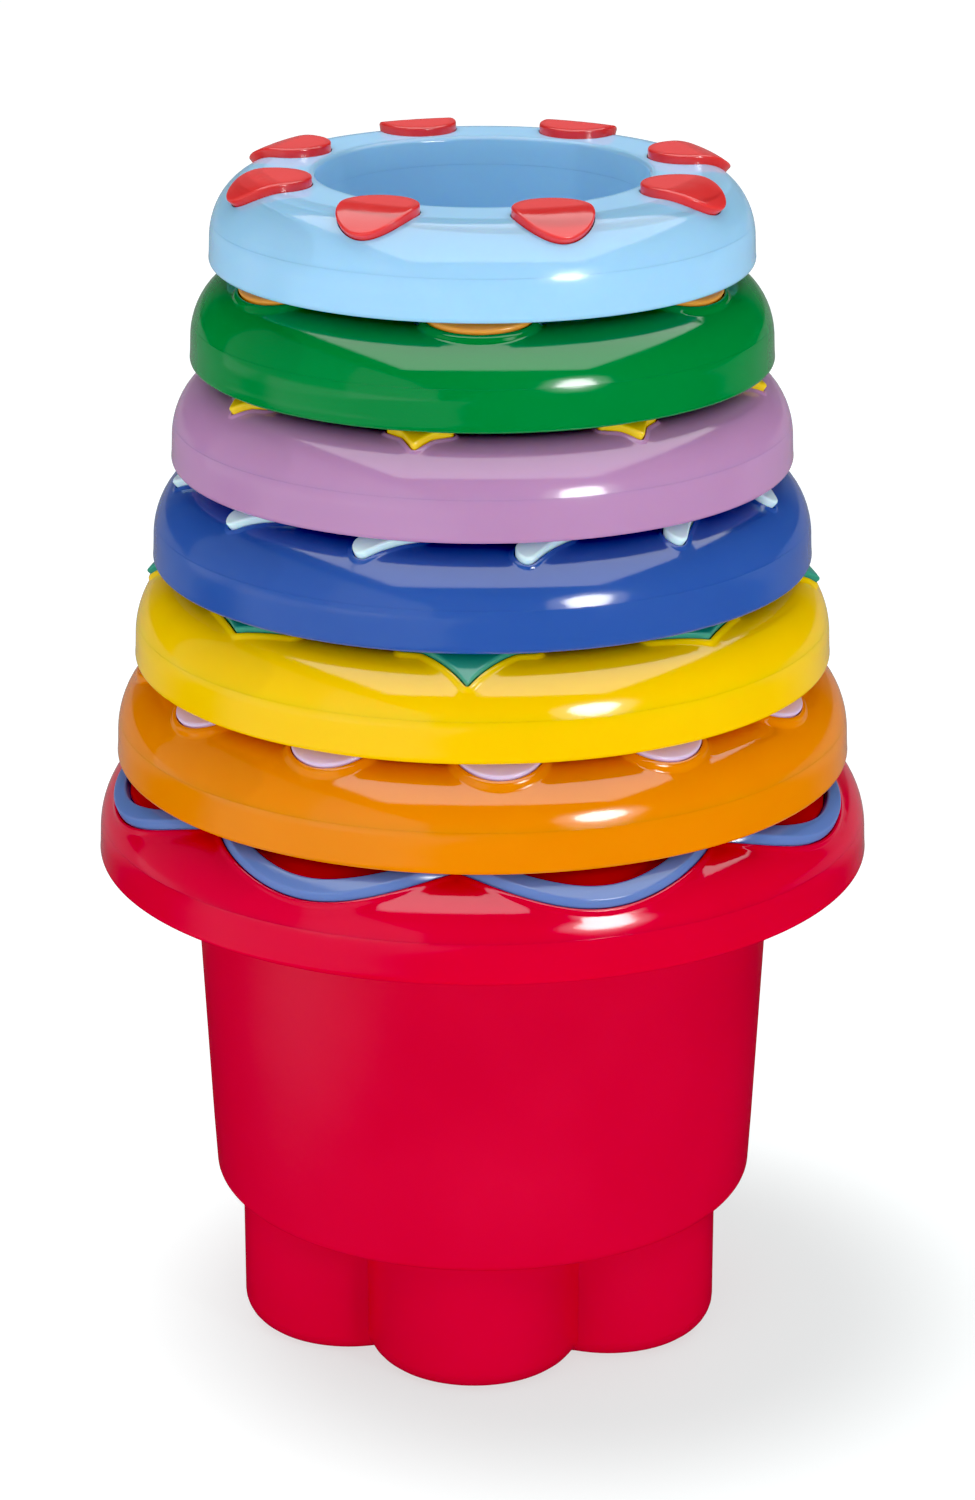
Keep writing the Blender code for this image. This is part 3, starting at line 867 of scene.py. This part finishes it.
def moulded_plastic(name, srgb, rough=GLOSS, satin_below=None):
    """Glossy moulded plastic with faint flow marks; the surface below a height can be satin."""
    material = bpy.data.materials.new(name)
    material.use_nodes = True
    tree = material.node_tree
    nodes, links = tree.nodes, tree.links
    shader = nodes["Principled BSDF"]
    shader.inputs["IOR"].default_value = 1.49
    shader.inputs["Specular IOR Level"].default_value = 0.5
    shader.inputs["Subsurface Weight"].default_value = 0.35
    shader.inputs["Subsurface Radius"].default_value = (1.0, 0.4, 0.15)
    shader.inputs["Subsurface Scale"].default_value = 3 * MM
    place = nodes.new("ShaderNodeTexCoord").outputs["Object"]

    flow = noise(tree, place, 38, 3)
    tint = nodes.new("ShaderNodeMix")
    tint.data_type = "RGBA"
    tint.inputs["A"].default_value = colour([channel * 0.965 for channel in srgb])
    tint.inputs["B"].default_value = colour([min(channel * 1.02 + 2, 255) for channel in srgb])
    links.new(flow, tint.inputs["Factor"])
    links.new(tint.outputs["Result"], shader.inputs["Base Color"])

    roughness = ramp(tree, flow, 0.3, 0.7, rough * 0.85, rough * 1.25, eased=False)
    if satin_below is not None:
        split = nodes.new("ShaderNodeSeparateXYZ")
        links.new(place, split.inputs["Vector"])
        edge = (satin_below - SATIN_EDGE, satin_below)
        satin = ramp(tree, split.outputs["Z"], *edge, SATIN, 0.0, eased=False)
        roughness = maths(tree, "ADD", roughness, satin)
    links.new(roughness, shader.inputs["Roughness"])

    bump = nodes.new("ShaderNodeBump")
    bump.inputs["Strength"].default_value = 0.06
    bump.inputs["Distance"].default_value = 0.02 * MM
    links.new(noise(tree, place, 900, 2), bump.inputs["Height"])
    links.new(bump.outputs["Normal"], shader.inputs["Normal"])
    return material


# ---- the members ----

# Moulded colours, sRGB
RED = (211, 2, 51)
ORANGE = (228, 128, 20)
YELLOW = (245, 195, 24)
BLUE = (52, 84, 162)
PURPLE = (178, 132, 177)
GREEN = (6, 125, 58)
SKY = (153, 207, 245)
LILAC = (220, 193, 231)
LEAF_GREEN = (62, 150, 130)
PALE_BLUE = (208, 240, 255)
STAR_YELLOW = (255, 205, 50)
OVAL_ORANGE = (240, 154, 70)
SPOT_RED = (226, 62, 62)
WAVE_BLUE = (94, 122, 186)


def ringed(skin, outline, radius, middle=0.0):
    """A plan outline moved out to a radius, laid on the sheet at an angle from its sector's middle."""
    moved = outline + np.array([0, radius])
    return anticlockwise(skin.lay(moved, middle))


def sky_pattern(member, skin):
    spot = ringed(skin, oval(6.9 * MM, 6.9 * MM), member.rim - 10.0 * MM)
    return CapPattern(8, math.radians(-27), [spot])


def green_pattern(member, skin):
    pad = ringed(skin, oval(8.8 * MM, 4.7 * MM), member.rim - 10.8 * MM)
    return CapPattern(6, math.radians(-0.6), [pad], lip_height=0.9 * MM, lip_width=1.7 * MM)


def purple_pattern(member, skin):
    pad = ringed(skin, star(6.3 * MM, 4.4 * MM), member.rim - 11.1 * MM)
    return CapPattern(8, math.radians(-13), [pad], lip_height=0.35 * MM, lip_width=0.9 * MM)


def blue_pattern(member, skin):
    pad = ringed(skin, dash(6.2 * MM, 1.9 * MM, math.radians(56)), member.rim - 9.0 * MM)
    return CapPattern(12, math.radians(12), [pad], lip_height=0.35 * MM, lip_width=1.0 * MM)


def yellow_pattern(member, skin):
    eighth = math.pi / 4
    wide = leaf([(8.0 * MM, -6.4 * MM), (12.0 * MM, -7.1 * MM), (10.8 * MM, -9.8 * MM)],
                [3.0 * MM, 0.6 * MM, 1.0 * MM])
    low = leaf([(10.8 * MM, -4.0 * MM), (9.6 * MM, -6.8 * MM)], [0.6 * MM, 1.0 * MM])
    large = ringed(skin, wide, member.rim - 3.0 * MM, -eighth / 2)
    small = ringed(skin, low, member.rim - 5.8 * MM, eighth / 2)
    turn = math.radians(-2.4) + eighth / 2
    return CapPattern(4, turn, [large, small], lip_height=0.6 * MM, lip_width=1.2 * MM)


def orange_pattern(member, skin):
    pad = ringed(skin, oval(7.3 * MM, 5.3 * MM), member.rim - 10.3 * MM)
    return CapPattern(12, math.radians(3), [pad], lip_height=1.05 * MM, lip_width=1.8 * MM)


# Body, cup, cap, inlay, slot and colour of the cup and of the inlay, and the cap's windows
MEMBERS = [
    ("bucket", "red_bucket", "red_collar_cap", "blue_wave_ring", "red", RED, "wave_blue", WAVE_BLUE, None),
    ("orange", "orange_cup", "orange_collar_cap", "lilac_oval_ring", "orange", ORANGE, "lilac", LILAC,
     orange_pattern),
    ("yellow", "yellow_cup", "yellow_collar_cap", "green_leaf_ring", "yellow", YELLOW, "leaf_green",
     LEAF_GREEN, yellow_pattern),
    ("blue", "blue_cup", "blue_collar_cap", "pale_dash_ring", "blue", BLUE, "pale_blue", PALE_BLUE,
     blue_pattern),
    ("purple", "purple_cup", "purple_collar_cap", "yellow_star_ring", "purple", PURPLE, "star_yellow",
     STAR_YELLOW, purple_pattern),
    ("green", "green_cup", "green_collar_cap", "orange_oval_ring", "green", GREEN, "oval_orange",
     OVAL_ORANGE, green_pattern),
    ("sky", "sky_cup", "sky_collar_cap", "red_spot_ring", "sky_blue", SKY, "spot_red", SPOT_RED,
     sky_pattern),
]


def finish_piece(piece, node, body, material):
    """The piece coloured, and handed to the frame in place of its CAD node."""
    piece.data.materials.clear()
    piece.data.materials.append(material)
    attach(piece, body)
    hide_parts(node)


def make_member(body, cup, cap, inlay, slot, srgb, inlay_slot, inlay_srgb, pattern_maker):
    """The three fine pieces of one cup; the bucket, which has no windows, gets the groove and band."""
    member = Member(cup, cap, inlay)
    skin = Skin(member)
    shell = moulded_plastic(slot + "_gloss", srgb, satin_below=member.base)
    accent = moulded_plastic(inlay_slot + "_gloss", inlay_srgb, rough=PAD_GLOSS)
    finish_piece(fine_cup(member), cup, body, shell)
    if pattern_maker is None:
        pattern = CapPattern(WAVE_SCALLOPS, WAVE_TURN)
        finish_piece(grooved_cap(member, skin, pattern), cap, body, shell)
        finish_piece(wave_band(member, skin, pattern), inlay, body, accent)
    else:
        pattern = pattern_maker(member, skin)
        finish_piece(windowed_cap(member, skin, pattern), cap, body, shell)
        finish_piece(pad_ring(member, skin, pattern), inlay, body, accent)


for row in MEMBERS:
    make_member(*row)


# ---- studio ----

def radiance_power(radiance, area):
    """Power of an area light whose face has the given radiance."""
    return radiance * math.pi * area


def softbox(name, place, target, size, radiance, shape, seen_by):
    """Area light that the camera doesn't see; seen_by is all, gloss or matt, the surfaces that it lights."""
    light = bpy.data.lights.new(name, "AREA")
    light.shape = shape
    light.size, light.size_y = size
    area = size[0] * size[1] * (math.pi / 4 if shape == "ELLIPSE" else 1)
    light.energy = radiance_power(radiance, area)
    obj = bpy.data.objects.new(name, light)
    bpy.context.scene.collection.objects.link(obj)
    obj.location = place
    obj.rotation_euler = (Vector(target) - Vector(place)).to_track_quat("-Z", "Y").to_euler()
    obj.visible_camera = False
    obj.visible_glossy = seen_by != "matt"
    obj.visible_diffuse = seen_by != "gloss"


# Name, place, what it points at, width and height in metres, radiance, shape, and what it lights
LIGHTS = [
    ("overhead", (0.135, -0.15, 0.96), (0.135, -0.15, 0), (1.47, 1.5), OVERHEAD, "RECTANGLE", "gloss"),
    ("top_fill", (0.1, 0, 0.96), (0.1, 0, 0), (1.5, 1.5), TOP_FILL, "RECTANGLE", "matt"),
    ("front_fill", (-0.5, -1.3, 0.35), (0, 0, 0.12), (1.6, 0.9), FRONT_FILL, "RECTANGLE", "matt"),
    ("wall_front", (-0.9, -1.9, 0.47), (0, -1.9, 0.47), (2.4, 0.94), WALL_FRONT, "RECTANGLE", "all"),
    ("wall_back", (-0.9, -0.12, 0.47), (0, -0.12, 0.47), (1.16, 0.94), WALL_BACK, "RECTANGLE", "all"),
    ("key", (0.882, -1.214, 0.57), (0, -0.04, 0.12), (0.44, 0.34), KEY, "ELLIPSE", "gloss"),
    ("key_halo", (0.9, -1.24, 0.57), (0, -0.04, 0.12), (0.8, 0.56), KEY_HALO, "ELLIPSE", "gloss"),
    ("key_matt", (0.348, -0.432, 0.212), (0.01, -0.04, 0.15), (0.11, 0.11), KEY_MATT, "ELLIPSE", "matt"),
]


def make_floor():
    """White table with a glow that grows away from the foot, the dim glow by the foot a painted contact
    shadow; glossy surfaces see a darker painted reflection of it.
    """
    mesh = bpy.data.meshes.new("floor")
    form = bmesh.new()
    bmesh.ops.create_grid(form, x_segments=8, y_segments=8, size=FLOOR_SIZE)
    form.to_mesh(mesh)
    form.free()
    floor = bpy.data.objects.new("floor", mesh)
    bpy.context.scene.collection.objects.link(floor)
    material = bpy.data.materials.new("floor_white")
    material.use_nodes = True
    tree = material.node_tree
    nodes, links = tree.nodes, tree.links
    shader = nodes["Principled BSDF"]
    shader.inputs["Base Color"].default_value = FLOOR_TINT
    shader.inputs["Roughness"].default_value = 0.7
    shader.inputs["Specular IOR Level"].default_value = 0.1
    shader.inputs["Emission Color"].default_value = (1, 1, 1, 1)
    place = nodes.new("ShaderNodeTexCoord").outputs["Object"]
    # Painted contact shadow: the table's emission is lower near the foot
    distance = nodes.new("ShaderNodeVectorMath")
    distance.operation = "DISTANCE"
    distance.inputs[1].default_value = PAINTED_SHADOW_CENTRE
    links.new(place, distance.inputs[0])
    glow = ramp(tree, distance.outputs["Value"], *PAINTED_SHADOW_SPREAD, GLOW_IN_PAINTED_SHADOW, GLOW_FAR)
    links.new(glow, shader.inputs["Emission Strength"])

    # Glossy rays see a painted reflection instead of the table: bright at the front left and behind, the
    # dark room elsewhere
    split = nodes.new("ShaderNodeSeparateXYZ")
    links.new(place, split.inputs["Vector"])
    left = ramp(tree, split.outputs["X"], *LEFT_SIDE)
    front = ramp(tree, split.outputs["Y"], *FRONT_SIDE, ROOM, PAINTED_REFLECTION_LEFT)
    back = ramp(tree, split.outputs["Y"], *BACK_SIDE, ROOM, PAINTED_REFLECTION_BACK)
    painted_reflection = nodes.new("ShaderNodeEmission")
    strength = maths(tree, "MAXIMUM", maths(tree, "MULTIPLY", left, front), back)
    links.new(strength, painted_reflection.inputs["Strength"])
    path = nodes.new("ShaderNodeLightPath")
    either = nodes.new("ShaderNodeMixShader")
    links.new(path.outputs["Is Glossy Ray"], either.inputs["Fac"])
    links.new(shader.outputs["BSDF"], either.inputs[1])
    links.new(painted_reflection.outputs["Emission"], either.inputs[2])
    links.new(either.outputs["Shader"], nodes["Material Output"].inputs["Surface"])
    floor.data.materials.append(material)


def make_world():
    """White for the camera, soft grey for matt surfaces, and for glossy ones a dark room with a sweep."""
    world = bpy.data.worlds.new("studio")
    bpy.context.scene.world = world
    world.use_nodes = True
    tree = world.node_tree
    nodes, links = tree.nodes, tree.links
    background = nodes["Background"]
    background.inputs["Color"].default_value = (1, 1, 1, 1)
    split = nodes.new("ShaderNodeSeparateXYZ")
    links.new(nodes.new("ShaderNodeTexCoord").outputs["Generated"], split.inputs["Vector"])
    behind = ramp(tree, split.outputs["Y"], *SWEEP_WIDTH)
    low = ramp(tree, split.outputs["Z"], *SWEEP_TOP)
    room = ramp(tree, maths(tree, "MULTIPLY", behind, low), 0, 1, ROOM, SWEEP, eased=False)
    path = nodes.new("ShaderNodeLightPath")
    matt = nodes.new("ShaderNodeMix")
    matt.inputs["B"].default_value = FILL
    links.new(room, matt.inputs["A"])
    links.new(path.outputs["Is Diffuse Ray"], matt.inputs["Factor"])
    seen = nodes.new("ShaderNodeMix")
    seen.inputs["B"].default_value = BACKDROP
    links.new(matt.outputs["Result"], seen.inputs["A"])
    links.new(path.outputs["Is Camera Ray"], seen.inputs["Factor"])
    links.new(seen.outputs["Result"], background.inputs["Strength"])


def make_camera():
    data = bpy.data.cameras.new("camera")
    data.sensor_width = SENSOR
    data.lens = LENS
    camera = bpy.data.objects.new("camera", data)
    bpy.context.scene.collection.objects.link(camera)
    camera.location = CAMERA_PLACE
    camera.rotation_euler = (math.radians(90) - CAMERA_DOWN, 0, 0)
    bpy.context.scene.camera = camera


def make_grade():
    """Plain display with the deep blacks of a printed picture."""
    settings = bpy.context.scene.view_settings
    settings.view_transform = "Standard"
    settings.exposure = EXPOSURE
    settings.use_curve_mapping = True
    mapping = settings.curve_mapping
    toe = mapping.curves[3]     # the curve for all three channels
    for dark, printed in TOE:
        toe.points.new(dark, printed)
    for point in toe.points:
        point.handle_type = "VECTOR"
    mapping.update()


make_floor()
make_world()
make_camera()
for light in LIGHTS:
    softbox(*light)
make_grade()
